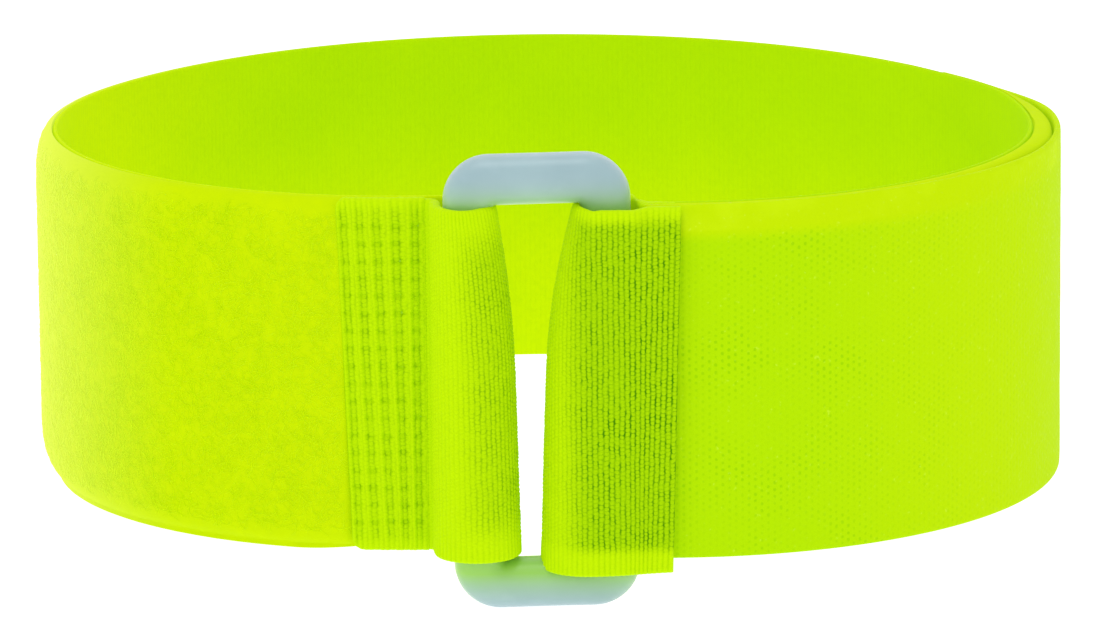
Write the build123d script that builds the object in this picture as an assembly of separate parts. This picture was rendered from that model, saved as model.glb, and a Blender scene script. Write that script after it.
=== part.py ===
from build123d import *
import os
from math import atan2, cos, degrees, radians, sin, sqrt

# A cinch wristband: one loop strap, a rectangular ring, and a tail of hook tape that grips the strap.
#
# Millimetres, Z up. The wrist passes along Z, the ring is at the front (-Y), and the origin is the
# middle of the whole band. In plan the strap is one long strip. It starts at its welded end, turns
# round the ring's left bar, goes clockwise round the wrist, turns round the ring's right bar, and
# ends in a short tab. Routes follow the strap's ribbed, wrist-side face, and a positive offset is
# towards its loop pile, which is always on the left of the direction of travel.

# Strap
STRAP_WIDTH = 25.0
GROUND = 0.5  # woven ground of the loop strap
PILE = 1.2  # brushed loops that stand on the ground
HELD_PILE = 0.8  # the same loops where the hook tape holds them down
SELVEDGE = 1.0  # bare woven edge above and below the pile
FOLDED = 0.9  # the strap's whole thickness where its pile is pressed flat
PRESSED_PILE = 0.25  # pile left between the two layers of the weld

# Plan of the wrist-side face: a left, a rear and a right arc, all tangent
LEFT_CENTRE = (-9.9, -0.6)
LEFT_RADIUS = 25.5
RIGHT_CENTRE = (8.9, -3.0)
RIGHT_RADIUS = 25.9
REAR_RADIUS = 35.9

# Ring
RING_WIDTH = 12.8
RING_HEIGHT = 32.0
BAR_RADIUS = 1.75
RING_CORNER = 1.9  # radius of the bar's centreline at a corner
LEFT_BAR_X = -5.2

# Fold that holds the ring's left bar
ANCHOR_GAP = 2.0  # radius of the space round the bar
RAMP_ANGLE = 85.0
RAMP_RADIUS = 0.3
FOLD_END_X = -14.25

# Spots that weld the fold down
WELD_COLUMNS = 5
WELD_ROWS = 18
WELD_SPOT = 0.7
WELD_START = 0.55  # from the fold's end to the middle of the first column
WELD_COLUMN_PITCH = 1.17
WELD_ROW_PITCH = 1.25
WELD_DEPTH = 0.4  # depth of the pit over each spot
CUT_MARGIN = 0.2  # how far a cutter passes the face that it opens

# Loose turn of the strap round the ring's right bar, and its tab
CINCH_GAP = 2.3
CINCH_X = 2.75
STEP_ANGLE = 60.0
STEP_RADIUS = 2.0
TAB_END_X = 9.1

# Hook tape
TAPE = 0.5  # woven ground of the hook tape
HOOKS = 0.35  # height of the hooks that stays outside the held pile
HOOK_CLEARANCE = 0.25  # between the hooks and the pile
HOOK_MARGIN = 1.5  # bare edge above and below the hooks
TAPE_START_X = 6.8
FRONT_END_ANGLE = -45.0  # where each length of the tape ends, round RIGHT_CENTRE
SIDE_END_ANGLE = 5.0
TIP_TURN = 22.0  # how far the tape goes on round the rear arc

# Spots that weld the tab to the hook tape
TAB_SPOT_RADIUS = 0.35
TAB_SPOT_COLUMNS = (7.4, 8.4)
TAB_SPOT_ROWS = 12
TAB_SPOT_PITCH = 1.9


class Route:
    """Straight runs and tangent arcs in plan, each starting where the last one ends."""

    def __init__(self, start, heading):
        self.end = start
        self.heading = heading
        self.steps = []

    def run(self, length):
        self.steps.append((self.end, self.heading, length, 0.0))
        self._advance()
        return self

    def arc(self, radius, turn):
        """An arc that turns left by turn degrees, or right if turn is negative."""
        self.steps.append((self.end, self.heading, radius, turn))
        self._advance()
        return self

    def _advance(self):
        self.end = self.place(self.steps[-1], 1.0, 0.0)
        self.heading += self.steps[-1][3]

    @staticmethod
    def place(step, share, offset):
        """The point a share of the way along a step, moved by offset to the left."""
        (x, y), heading, size, turn = step
        if turn == 0:
            along = radians(heading)
            x += share * size * cos(along)
            y += share * size * sin(along)
            return (x - offset * sin(along), y + offset * cos(along))
        side = 1 if turn > 0 else -1
        start = radians(heading)
        centre = (x - side * size * sin(start), y + side * size * cos(start))
        now = radians(heading + share * turn)
        reach = size - side * offset
        return (centre[0] + side * reach * sin(now), centre[1] - side * reach * cos(now))


def edge_of(step, offset, backwards):
    """One side of a step, as a line or an arc."""
    shares = (1.0, 0.5, 0.0) if backwards else (0.0, 0.5, 1.0)
    first, middle, last = [Route.place(step, share, offset) for share in shares]
    if step[3] == 0:
        return Line(first, last)
    return ThreePointArc(first, middle, last)


def strip(route, near, far, height):
    """A strip of tape between two offsets from a route, centred on z = 0."""
    edges = [edge_of(step, near, False) for step in route.steps]
    edges.append(Line(edges[-1] @ 1, Route.place(route.steps[-1], 1.0, far)))
    edges += [edge_of(step, far, True) for step in reversed(route.steps)]
    edges.append(Line(edges[-1] @ 1, edges[0] @ 0))
    return Pos(0, 0, -height / 2) * extrude(make_face(edges), height)


def rear_centre():
    """Centre of the rear arc, which touches the left and the right arc from outside."""
    to_left = REAR_RADIUS - LEFT_RADIUS
    to_right = REAR_RADIUS - RIGHT_RADIUS
    across = (RIGHT_CENTRE[0] - LEFT_CENTRE[0], RIGHT_CENTRE[1] - LEFT_CENTRE[1])
    apart = sqrt(across[0] ** 2 + across[1] ** 2)
    along = (apart**2 + to_left**2 - to_right**2) / (2 * apart)
    forward = sqrt(to_left**2 - along**2)
    unit = (across[0] / apart, across[1] / apart)
    x = LEFT_CENTRE[0] + along * unit[0] + forward * unit[1]
    y = LEFT_CENTRE[1] + along * unit[1] - forward * unit[0]
    return (x, y)


def direction(start, end):
    """Angle in degrees of the line from start to end."""
    return degrees(atan2(end[1] - start[1], end[0] - start[0]))


# Places that follow from the sizes above
REAR_CENTRE = rear_centre()
LEFT_TANGENT = direction(REAR_CENTRE, LEFT_CENTRE)  # where the rear arc meets the left arc
RIGHT_TANGENT = direction(REAR_CENTRE, RIGHT_CENTRE)
FRONT_ANGLE = -90.0  # both side arcs end where they face straight forwards
LEFT_FRONT_Y = LEFT_CENTRE[1] - LEFT_RADIUS
RIGHT_FRONT_Y = RIGHT_CENTRE[1] - RIGHT_RADIUS
ANCHOR_RADIUS = ANCHOR_GAP + FOLDED
CINCH_RADIUS = CINCH_GAP + FOLDED
RING_Y = LEFT_FRONT_Y - ANCHOR_RADIUS
RIGHT_BAR_X = LEFT_BAR_X + RING_WIDTH - 2 * BAR_RADIUS
TAPE_OFFSET = GROUND + HELD_PILE + HOOK_CLEARANCE + HOOKS + TAPE  # tape's back, from the ribbed face
WELD_FLOOR = GROUND + PRESSED_PILE  # underside of the folded end, from the ribbed face
FOLD_RADIUS = LEFT_RADIUS + WELD_FLOOR + FOLDED  # of the folded end's ribbed face


def on_right_arc(angle, offset=0.0):
    """A point on the right arc, offset outwards."""
    reach = RIGHT_RADIUS + offset
    return (
        RIGHT_CENTRE[0] + reach * cos(radians(angle)),
        RIGHT_CENTRE[1] + reach * sin(radians(angle)),
    )


def band_route():
    """From the ring's left bar, clockwise round the wrist, to the right front."""
    route = Route((LEFT_BAR_X, LEFT_FRONT_Y), 180.0)
    route.run(LEFT_BAR_X - LEFT_CENTRE[0])
    route.arc(LEFT_RADIUS, LEFT_TANGENT - (FRONT_ANGLE + 360.0))
    route.arc(REAR_RADIUS, RIGHT_TANGENT - LEFT_TANGENT)
    route.arc(RIGHT_RADIUS, FRONT_ANGLE - RIGHT_TANGENT)
    return route


def free_pile_route():
    """The stretch of the band whose pile stands free: from the end of the fold to the tape's tip."""
    fold_angle = fold_turn()
    start_angle = FRONT_ANGLE - fold_angle
    start = (
        LEFT_CENTRE[0] + LEFT_RADIUS * cos(radians(start_angle)),
        LEFT_CENTRE[1] + LEFT_RADIUS * sin(radians(start_angle)),
    )
    route = Route(start, 180.0 - fold_angle)
    route.arc(LEFT_RADIUS, LEFT_TANGENT - (start_angle + 360.0))
    route.arc(REAR_RADIUS, RIGHT_TANGENT + TIP_TURN - LEFT_TANGENT)
    return route


def held_pile_route():
    """The stretch of the band whose pile the hook tape holds: from the tape's tip to the right front."""
    free = free_pile_route()
    route = Route(free.end, free.heading)
    route.arc(REAR_RADIUS, -TIP_TURN)
    route.arc(RIGHT_RADIUS, FRONT_ANGLE - RIGHT_TANGENT)
    return route


def fold_turn():
    """Angle of the left arc that the folded end covers."""
    across = (LEFT_CENTRE[0] - FOLD_END_X) / FOLD_RADIUS
    return degrees(atan2(across, sqrt(1 - across**2)))


def anchor_route():
    """From the fold's welded end, down a short ramp and round the ring's left bar."""
    ramp = radians(RAMP_ANGLE)
    drop = LEFT_CENTRE[1] - FOLD_RADIUS - RING_Y
    slope = (drop + ANCHOR_RADIUS * cos(ramp) - RAMP_RADIUS * (1 - cos(ramp))) / sin(ramp)
    ramp_length = (RAMP_RADIUS + ANCHOR_RADIUS) * sin(ramp) + slope * cos(ramp)
    turn = fold_turn()
    start_angle = radians(FRONT_ANGLE - turn)
    start = (
        LEFT_CENTRE[0] + FOLD_RADIUS * cos(start_angle),
        LEFT_CENTRE[1] + FOLD_RADIUS * sin(start_angle),
    )
    route = Route(start, -turn)
    route.arc(FOLD_RADIUS, turn)
    route.run(LEFT_BAR_X - ramp_length - LEFT_CENTRE[0])
    route.arc(RAMP_RADIUS, -RAMP_ANGLE)
    route.run(slope)
    route.arc(ANCHOR_RADIUS, 180.0 + RAMP_ANGLE)
    return route


def cinch_route():
    """From the right front, back behind the ring's right bar and round it to the front."""
    step = radians(STEP_ANGLE)
    rise = RING_Y + CINCH_RADIUS - RIGHT_FRONT_Y
    slope = (rise - 2 * STEP_RADIUS * (1 - cos(step))) / sin(step)
    step_length = 2 * STEP_RADIUS * sin(step) + slope * cos(step)
    route = Route((RIGHT_CENTRE[0], RIGHT_FRONT_Y), 180.0)
    route.arc(STEP_RADIUS, -STEP_ANGLE)
    route.run(slope)
    route.arc(STEP_RADIUS, STEP_ANGLE)
    route.run(RIGHT_CENTRE[0] - step_length - CINCH_X)
    route.arc(CINCH_RADIUS, 180.0)
    return route


def tab_route():
    """The strap's free end, in front of the ring's right bar."""
    return Route((CINCH_X, RING_Y - CINCH_RADIUS), 0.0).run(TAB_END_X - CINCH_X)


def tape_routes():
    """The back of the hook tape, in the three lengths that peel one after another."""
    radius = RIGHT_RADIUS + TAPE_OFFSET
    front = Route((TAPE_START_X, RIGHT_FRONT_Y - TAPE_OFFSET), 0.0)
    front.run(RIGHT_CENTRE[0] - TAPE_START_X)
    front.arc(radius, FRONT_END_ANGLE - FRONT_ANGLE)
    side = Route(front.end, front.heading)
    side.arc(radius, SIDE_END_ANGLE - FRONT_END_ANGLE)
    tip = Route(side.end, side.heading)
    tip.arc(radius, RIGHT_TANGENT - SIDE_END_ANGLE)
    tip.arc(REAR_RADIUS + TAPE_OFFSET, TIP_TURN)
    return {"front": front, "side": side, "tip": tip}


def hooks_route(name, route):
    """The hooked stretch of a length of tape. The front one starts clear of the tab's weld."""
    if name != "front":
        return route
    start = Route(on_right_arc(FRONT_ANGLE, TAPE_OFFSET), 0.0)
    return start.arc(RIGHT_RADIUS + TAPE_OFFSET, FRONT_END_ANGLE - FRONT_ANGLE)


def rows(count, pitch):
    """Heights of count rows, centred on z = 0."""
    return [(row - (count - 1) / 2) * pitch for row in range(count)]


def weld_columns():
    """For each column of weld spots, its angle round LEFT_CENTRE and its way past the arc's end."""
    arc = radians(fold_turn()) * FOLD_RADIUS
    distances = [WELD_START + column * WELD_COLUMN_PITCH for column in range(WELD_COLUMNS)]
    return [
        (FRONT_ANGLE - degrees(max(arc - distance, 0.0) / FOLD_RADIUS), max(distance - arc, 0.0))
        for distance in distances
    ]


def anchor_spots(depth_from, depth_to):
    """One block for each weld spot of the fold, between two offsets from the band's ribbed face."""
    middle = LEFT_RADIUS + (depth_from + depth_to) / 2
    block = Box(depth_to - depth_from, WELD_SPOT, WELD_SPOT)
    return [
        Pos(LEFT_CENTRE[0] + past_arc, LEFT_CENTRE[1], z) * Rot(0, 0, angle) * Pos(middle, 0, 0) * block
        for angle, past_arc in weld_columns()
        for z in rows(WELD_ROWS, WELD_ROW_PITCH)
    ]


def tab_spots():
    """One pin for each weld spot between the tab and the hook tape, through the tape."""
    y = RIGHT_FRONT_Y - TAPE_OFFSET + TAPE / 2
    pin = Rot(90, 0, 0) * Cylinder(TAB_SPOT_RADIUS, TAPE)
    heights = rows(TAB_SPOT_ROWS, TAB_SPOT_PITCH)
    return [Pos(x, y, z) * pin for x in TAB_SPOT_COLUMNS for z in heights]


def ring():
    """A round bar bent into an upright rectangle, with its centreline in the plane y = RING_Y."""
    plane = Plane.XZ.offset(-RING_Y)
    path = plane * RectangleRounded(
        RING_WIDTH - 2 * BAR_RADIUS, RING_HEIGHT - 2 * BAR_RADIUS, RING_CORNER
    )
    path = Pos((LEFT_BAR_X + RIGHT_BAR_X) / 2, 0, 0) * path
    outline = path.faces()[0].outer_wire()
    start = outline.edges()[0]
    section = Plane(origin=start @ 0.5, z_dir=start % 0.5) * Circle(BAR_RADIUS)
    return sweep(section, outline)


def loop_pile():
    """The brushed loops as one thick layer where they stand free and a thinner one where they are held."""
    height = STRAP_WIDTH - 2 * SELVEDGE
    free = strip(free_pile_route(), GROUND, GROUND + PILE, height)
    held = strip(held_pile_route(), GROUND, GROUND + HELD_PILE, height)
    return Compound(children=[free, held])


def anchor_fold():
    """The strap's folded end, with a hole for each weld spot."""
    solid = strip(anchor_route(), 0.0, FOLDED, STRAP_WIDTH)
    return solid - anchor_spots(GROUND, WELD_FLOOR + FOLDED + CUT_MARGIN)


def hook_tapes():
    """The woven ground of the hook tape, one node for each length."""
    tapes = {}
    for name, route in tape_routes().items():
        tapes[f"hook_tape_{name}"] = strip(route, 0.0, TAPE, STRAP_WIDTH)
    tapes["hook_tape_front"] -= tab_spots()
    return tapes


def hook_fields():
    """The rows of hooks as one thin layer for each length of tape."""
    height = STRAP_WIDTH - 2 * HOOK_MARGIN
    return {
        f"hooks_{name}": strip(hooks_route(name, route), TAPE, TAPE + HOOKS, height)
        for name, route in tape_routes().items()
    }


def nodes():
    """Every node of the band by name."""
    spot_top = WELD_FLOOR + FOLDED - WELD_DEPTH
    parts = {
        "strap_band": strip(band_route(), 0.0, GROUND, STRAP_WIDTH),
        "loop_pile": loop_pile(),
        "anchor_fold": anchor_fold(),
        "anchor_weld": Compound(children=anchor_spots(GROUND, spot_top)),
        "cinch_fold": strip(cinch_route(), 0.0, FOLDED, STRAP_WIDTH),
        "strap_tab": strip(tab_route(), 0.0, FOLDED, STRAP_WIDTH),
        "tab_weld": Compound(children=tab_spots()),
        "buckle_ring": ring(),
    }
    parts.update(hook_tapes())
    parts.update(hook_fields())
    return parts


def report_joints():
    """Prints the places of the joint axes, for the record."""
    print("ring axis", LEFT_BAR_X, RING_Y)
    print("tail axis", CINCH_X, RING_Y - CINCH_RADIUS)
    print("side axis", on_right_arc(FRONT_END_ANGLE, TAPE_OFFSET))
    print("tip axis", on_right_arc(SIDE_END_ANGLE, TAPE_OFFSET))
    print("rear centre", REAR_CENTRE)


os.makedirs("parts", exist_ok=True)
for node_name, shape in nodes().items():
    export_step(shape, f"parts/{node_name}.step")
report_joints()
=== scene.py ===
from math import atan2, cos, degrees, pi, radians, sin, sqrt

import bpy
import numpy as np
from mathutils import Matrix, Vector


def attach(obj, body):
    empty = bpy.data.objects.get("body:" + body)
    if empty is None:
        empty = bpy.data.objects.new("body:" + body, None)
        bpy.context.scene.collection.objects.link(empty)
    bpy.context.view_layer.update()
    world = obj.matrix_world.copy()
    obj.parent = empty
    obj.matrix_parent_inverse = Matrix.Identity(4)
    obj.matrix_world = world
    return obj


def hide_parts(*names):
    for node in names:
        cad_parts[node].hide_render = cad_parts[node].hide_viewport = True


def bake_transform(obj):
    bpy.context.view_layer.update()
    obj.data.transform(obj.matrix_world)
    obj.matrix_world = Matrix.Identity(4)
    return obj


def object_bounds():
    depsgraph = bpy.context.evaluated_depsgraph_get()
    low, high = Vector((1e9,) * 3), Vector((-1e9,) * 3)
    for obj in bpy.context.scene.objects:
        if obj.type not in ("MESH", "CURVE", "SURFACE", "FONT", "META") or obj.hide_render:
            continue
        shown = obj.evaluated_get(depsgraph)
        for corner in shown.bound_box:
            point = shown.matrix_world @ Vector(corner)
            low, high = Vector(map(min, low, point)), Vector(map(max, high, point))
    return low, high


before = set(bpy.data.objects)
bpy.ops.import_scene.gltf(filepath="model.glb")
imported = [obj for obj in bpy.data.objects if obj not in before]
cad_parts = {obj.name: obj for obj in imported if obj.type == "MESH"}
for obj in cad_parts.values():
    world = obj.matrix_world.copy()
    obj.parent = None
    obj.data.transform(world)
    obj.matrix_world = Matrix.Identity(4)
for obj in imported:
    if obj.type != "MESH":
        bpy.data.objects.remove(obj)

# A cinch wristband: one loop strap, a rectangular ring, and a tail of hook tape that grips the strap.
#
# Lengths in this script are millimetres and become metres where a mesh is made. Every length of tape
# follows a route in plan. An offset is to the left of travel, which is the strap's pile side, so the
# strap's ribbed face is at offset 0 and relief on that face has a negative offset.

CAD_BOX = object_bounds()
MM = 0.001
SEED = 7

# Strap, as in the frame
STRAP_WIDTH = 25.0
GROUND = 0.5
PILE = 1.2
HELD_PILE = 0.8
SELVEDGE = 1.0
FOLDED = 0.9
PRESSED_PILE = 0.25
LEFT_CENTRE = (-9.9, -0.6)
LEFT_RADIUS = 25.5
RIGHT_CENTRE = (8.9, -3.0)
RIGHT_RADIUS = 25.9
REAR_RADIUS = 35.9

# Ring and the strap's two turns round it, as in the frame
RING_WIDTH = 12.8
RING_HEIGHT = 32.0
BAR_RADIUS = 1.75
LEFT_BAR_X = -5.2
ANCHOR_GAP = 2.0
RAMP_ANGLE = 85.0
RAMP_RADIUS = 0.3
FOLD_END_X = -14.25
CINCH_GAP = 2.3
CINCH_X = 2.75
STEP_ANGLE = 60.0
STEP_RADIUS = 2.0
TAB_END_X = 9.1

# Welds, as in the frame
WELD_COLUMNS = 5
WELD_ROWS = 18
WELD_START = 0.55
WELD_COLUMN_PITCH = 1.17
WELD_ROW_PITCH = 1.25
TAB_SPOT_COLUMNS = (7.4, 8.4)
TAB_SPOT_ROWS = 12
TAB_SPOT_PITCH = 1.9

# Hook tape, as in the frame
TAPE = 0.5
HOOKS = 0.35
HOOK_CLEARANCE = 0.25
HOOK_MARGIN = 1.5
TAPE_START_X = 6.8
FRONT_END_ANGLE = -45.0
SIDE_END_ANGLE = 5.0
TIP_TURN = 22.0

# Looks that the frame leaves out
PILE_EDGE = 0.02  # bare selvedge beyond the brushed pile
PILE_SUNK = 0.1  # how far the pile's skin and fibres start inside the ground
CUT_RADIUS = 0.3  # rounding of a tape's edges and cut ends
EDGE_FLAT = 0.03  # where that rounding starts on an edge, so that the edge has some thickness
END_FLAT = 0.04  # where it starts on a cut end
RING_CORNER = 1.9
RING_OUTER_CORNER = 3.2
RING_SQUARENESS = 2.4  # exponent of the bar's section, between a circle at 2 and a square
RING_DEPTH = 0.94  # the bar's depth as a share of its width
RING_TILT = 0.02  # lean of the ring to the left, in radians
RING_SAG = 0.18  # how far the ring hangs below the middle of the strap, and stretches
RING_SPREAD = 0.1  # how far the ring is stretched sideways, and moved towards the tab
RIM_RISE = 0.3  # how much higher the strap's upper edge stands at the right rear
FRONT_SAG = 0.5  # how much lower its lower edge hangs at the left front
TAPE_DROP = 0.5  # how much lower the hook tape's upper edge is at its tip
RIM_LEAN = 1.1  # how far that edge leans in at the front
TURN_HANG = 1.1  # how far the turn round the right bar hangs below the strap
STEP_PRESS = 1.15  # how far the upper edge of the step behind that turn comes forward
PAINTED_BOUNCE_MIDDLE = -0.8  # painted green light bounced from the strap on to the ring, less and less up and down from this height
PAINTED_BOUNCE_START = 12.9
PAINTED_BOUNCE_END = 15.5
GLOW = 0.25  # glow of the dye, as a share of its colour: partly its fluorescence, partly a painted fill light that lifts the fabric's shade

# Weave
RIB = 0.38  # pitch of the strap's ribs, along the strap
BEAD = 0.3  # pitch of the stitches down one rib
FLOAT = (0.46, 0.52)  # pitch of the hook tape's woven floats, along and up

# Loose fibres of the pile, each a bowed arch
FIBRE_LENGTH = (0.5, 1.7)
FIBRE_BOW = 0.45  # most bow, as a share of its length
FIBRE_RISE = 0.09
FIBRE_RADIUS = (0.009, 0.018)
FREE_STRETCHES = 4
FREE_FIBRES = 9500  # on each stretch of free pile
HELD_FIBRES = 9000  # under the hook tape

# Hooks
HOOK_PITCH = (1.25, 1.1)  # along and up
HOOK_JITTER = 0.08


# ---------------- routes


class Route:
    """Straight runs and tangent arcs in plan, measured by the distance travelled."""

    def __init__(self, start, heading):
        self.start = start
        self.heading = radians(heading)
        self.steps = []
        self.stations = {}

    def run(self, length):
        return self._step(length, 0.0)

    def arc(self, radius, turn):
        """An arc that turns left by turn degrees, or right if turn is negative."""
        length = radius * radians(abs(turn))
        return self._step(length, radians(turn) / length)

    def mark(self, name):
        """Names the distance reached so far."""
        self.stations[name] = self.length
        return self

    @property
    def length(self):
        return sum(step["length"] for step in self.steps)

    def _step(self, length, bend):
        if self.steps:
            last = self.steps[-1]
            place, heading = self._move(last, last["length"])
        else:
            place, heading = self.start, self.heading
        self.steps.append({"length": length, "bend": bend, "place": place, "heading": heading})
        return self

    @staticmethod
    def _move(step, distance):
        (x, y), heading, bend = step["place"], step["heading"], step["bend"]
        if bend == 0:
            return (x + distance * np.cos(heading), y + distance * np.sin(heading)), heading
        now = heading + bend * distance
        x = x + (np.sin(now) - np.sin(heading)) / bend
        y = y - (np.cos(now) - np.cos(heading)) / bend
        return (x, y), now

    def at(self, along, offset=0.0):
        """x and y at distances along the route, moved to the left by offset."""
        along, offset = np.broadcast_arrays(np.asarray(along, float), np.asarray(offset, float))
        x = np.empty(along.shape)
        y = np.empty(along.shape)
        begun = 0.0
        for index, step in enumerate(self.steps):
            ended = begun + step["length"]
            inside = (along >= begun) | (index == 0)
            (px, py), heading = self._move(step, along[inside] - begun)
            x[inside] = px - offset[inside] * np.sin(heading)
            y[inside] = py + offset[inside] * np.cos(heading)
            begun = ended
        return x, y


def rear_centre():
    """Centre of the rear arc, which touches the left and the right arc from outside."""
    to_left = REAR_RADIUS - LEFT_RADIUS
    to_right = REAR_RADIUS - RIGHT_RADIUS
    across = (RIGHT_CENTRE[0] - LEFT_CENTRE[0], RIGHT_CENTRE[1] - LEFT_CENTRE[1])
    apart = sqrt(across[0] ** 2 + across[1] ** 2)
    along = (apart**2 + to_left**2 - to_right**2) / (2 * apart)
    forward = sqrt(to_left**2 - along**2)
    unit = (across[0] / apart, across[1] / apart)
    x = LEFT_CENTRE[0] + along * unit[0] + forward * unit[1]
    y = LEFT_CENTRE[1] + along * unit[1] - forward * unit[0]
    return (x, y)


def direction(start, end):
    """Angle in degrees of the line from start to end."""
    return degrees(atan2(end[1] - start[1], end[0] - start[0]))


# Places that follow from the sizes above
REAR_CENTRE = rear_centre()
LEFT_TANGENT = direction(REAR_CENTRE, LEFT_CENTRE)
RIGHT_TANGENT = direction(REAR_CENTRE, RIGHT_CENTRE)
FRONT_ANGLE = -90.0
LEFT_FRONT_Y = LEFT_CENTRE[1] - LEFT_RADIUS
RIGHT_FRONT_Y = RIGHT_CENTRE[1] - RIGHT_RADIUS
ANCHOR_RADIUS = ANCHOR_GAP + FOLDED
CINCH_RADIUS = CINCH_GAP + FOLDED
RING_Y = LEFT_FRONT_Y - ANCHOR_RADIUS
TAPE_OFFSET = GROUND + HELD_PILE + HOOK_CLEARANCE + HOOKS + TAPE
FOLD_RADIUS = LEFT_RADIUS + GROUND + PRESSED_PILE + FOLDED
HALF_WIDTH = STRAP_WIDTH / 2
FIBRE_HALF = HALF_WIDTH - SELVEDGE - 0.1
FOLD_TURN = atan2(1.0, sqrt((FOLD_RADIUS / (LEFT_CENTRE[0] - FOLD_END_X)) ** 2 - 1))


def strap_route():
    """The whole strap: welded end, left bar, round the wrist, right bar, tab."""
    fold_turn = degrees(FOLD_TURN)
    first = radians(FRONT_ANGLE - fold_turn)
    start = (LEFT_CENTRE[0] + FOLD_RADIUS * cos(first), LEFT_CENTRE[1] + FOLD_RADIUS * sin(first))
    ramp = radians(RAMP_ANGLE)
    drop = LEFT_CENTRE[1] - FOLD_RADIUS - RING_Y
    slope = (drop + ANCHOR_RADIUS * cos(ramp) - RAMP_RADIUS * (1 - cos(ramp))) / sin(ramp)
    ramp_length = (RAMP_RADIUS + ANCHOR_RADIUS) * sin(ramp) + slope * cos(ramp)
    step = radians(STEP_ANGLE)
    step_depth = RING_Y + CINCH_RADIUS - RIGHT_FRONT_Y
    step_slope = (step_depth - 2 * STEP_RADIUS * (1 - cos(step))) / sin(step)
    step_length = 2 * STEP_RADIUS * sin(step) + step_slope * cos(step)

    route = Route(start, -fold_turn)
    route.arc(FOLD_RADIUS, fold_turn).mark("arc").run(LEFT_BAR_X - ramp_length - LEFT_CENTRE[0])
    route.mark("ramp").arc(RAMP_RADIUS, -RAMP_ANGLE).run(slope)
    route.mark("anchor_turn").arc(ANCHOR_RADIUS, 180.0 + RAMP_ANGLE).mark("band")
    route.run(LEFT_BAR_X - LEFT_CENTRE[0])
    route.mark("left").arc(LEFT_RADIUS, LEFT_TANGENT - (FRONT_ANGLE + 360.0))
    route.mark("rear").arc(REAR_RADIUS, RIGHT_TANGENT - LEFT_TANGENT)
    route.mark("right").arc(RIGHT_RADIUS, FRONT_ANGLE - RIGHT_TANGENT).mark("cinch")
    route.arc(STEP_RADIUS, -STEP_ANGLE).run(step_slope).arc(STEP_RADIUS, STEP_ANGLE)
    route.run(RIGHT_CENTRE[0] - step_length - CINCH_X)
    route.mark("cinch_turn").arc(CINCH_RADIUS, 180.0).mark("tab")
    route.run(TAB_END_X - CINCH_X).mark("end")
    return route


def tape_route():
    """The back of the whole hook tape."""
    radius = RIGHT_RADIUS + TAPE_OFFSET
    route = Route((TAPE_START_X, RIGHT_FRONT_Y - TAPE_OFFSET), 0.0)
    route.run(RIGHT_CENTRE[0] - TAPE_START_X).mark("curve")
    route.arc(radius, FRONT_END_ANGLE - FRONT_ANGLE).mark("side")
    route.arc(radius, SIDE_END_ANGLE - FRONT_END_ANGLE).mark("tip")
    route.arc(radius, RIGHT_TANGENT - SIDE_END_ANGLE)
    route.arc(REAR_RADIUS + TAPE_OFFSET, TIP_TURN).mark("end")
    return route


STRAP = strap_route()
TAPE_BACK = tape_route()
PILE_START = STRAP.stations["left"] + FOLD_TURN * LEFT_RADIUS
TAPE_TIP = STRAP.stations["right"] - radians(TIP_TURN) * REAR_RADIUS
TURN_MIDDLE = STRAP.stations["cinch_turn"] + 0.5 * pi * CINCH_RADIUS


# ---------------- surface relief


def ease(value):
    """0 below 0, 1 above 1, smooth between."""
    value = np.clip(value, 0.0, 1.0)
    return value * value * (3 - 2 * value)


def rise(value, start, end):
    """0 as far as start, 1 from end on, smooth between. The end may also lie below the start."""
    return ease((value - start) / (end - start))


def from_edge(up):
    """Distance of a height from the nearer edge of a tape."""
    return HALF_WIDTH - np.abs(up)


def rounding(distance, radius):
    """Height of a quarter circle at a distance from its foot, as a share of its radius."""
    inside = np.clip(distance / radius, 0.0, 1.0)
    return np.sqrt(1 - (1 - inside) ** 2)


def lumps(along, up, size, seed):
    """Smooth random relief from -1 to 1 with lumps of one size."""
    cells = 64
    table = np.random.default_rng(seed).uniform(-1, 1, (cells, cells))
    u, v = np.broadcast_arrays(along / size, up / size)
    u0, v0 = np.floor(u).astype(int), np.floor(v).astype(int)
    du, dv = ease(u - u0), ease(v - v0)
    left, right = u0 % cells, (u0 + 1) % cells
    below, above = v0 % cells, (v0 + 1) % cells
    low = table[left, below] * (1 - du) + table[right, below] * du
    high = table[left, above] * (1 - du) + table[right, above] * du
    return low * (1 - dv) + high * dv


def ribs(along):
    """Round yarns side by side along the strap: 0 in a valley, 1 on a rib."""
    return np.abs(np.sin(pi * along / RIB))


def stitched(along, up):
    """Ribs made of single stitches, staggered from one rib to the next, plain near the selvedges."""
    odd = np.floor(along / RIB) % 2
    uneven = up + 0.13 * lumps(along, up, 0.55, SEED + 11)
    stitch = np.abs(np.sin(pi * (uneven / BEAD + odd / 2)))
    inside = rise(from_edge(up), 0.5, 1.4)
    return ribs(along) * (1 - inside * 0.65 * (1 - stitch))


def weld_pits(along, up):
    """Depth of the weld's pits in the folded end: 0 outside a pit, about 1 at its bottom."""
    column = np.clip(np.round((along - WELD_START) / WELD_COLUMN_PITCH), 0, WELD_COLUMNS - 1)
    row = np.clip(np.round(up / WELD_ROW_PITCH + (WELD_ROWS - 1) / 2), 0, WELD_ROWS - 1)
    wander = np.random.default_rng(SEED + 9).uniform(-1, 1, (3, WELD_COLUMNS, WELD_ROWS))
    shift = wander[:, column.astype(int), row.astype(int)]
    across = np.abs(along - WELD_START - column * WELD_COLUMN_PITCH + 0.05 * shift[0])
    height = np.abs(up - (row - (WELD_ROWS - 1) / 2) * WELD_ROW_PITCH + 0.07 * shift[1])
    inside = rise(across, 0.5, 0.2) * rise(height, 0.34, 0.06)
    return inside * (0.8 + 0.2 * shift[2]) * (1 + 0.25 * lumps(along, up, 0.25, SEED + 12))


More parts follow.
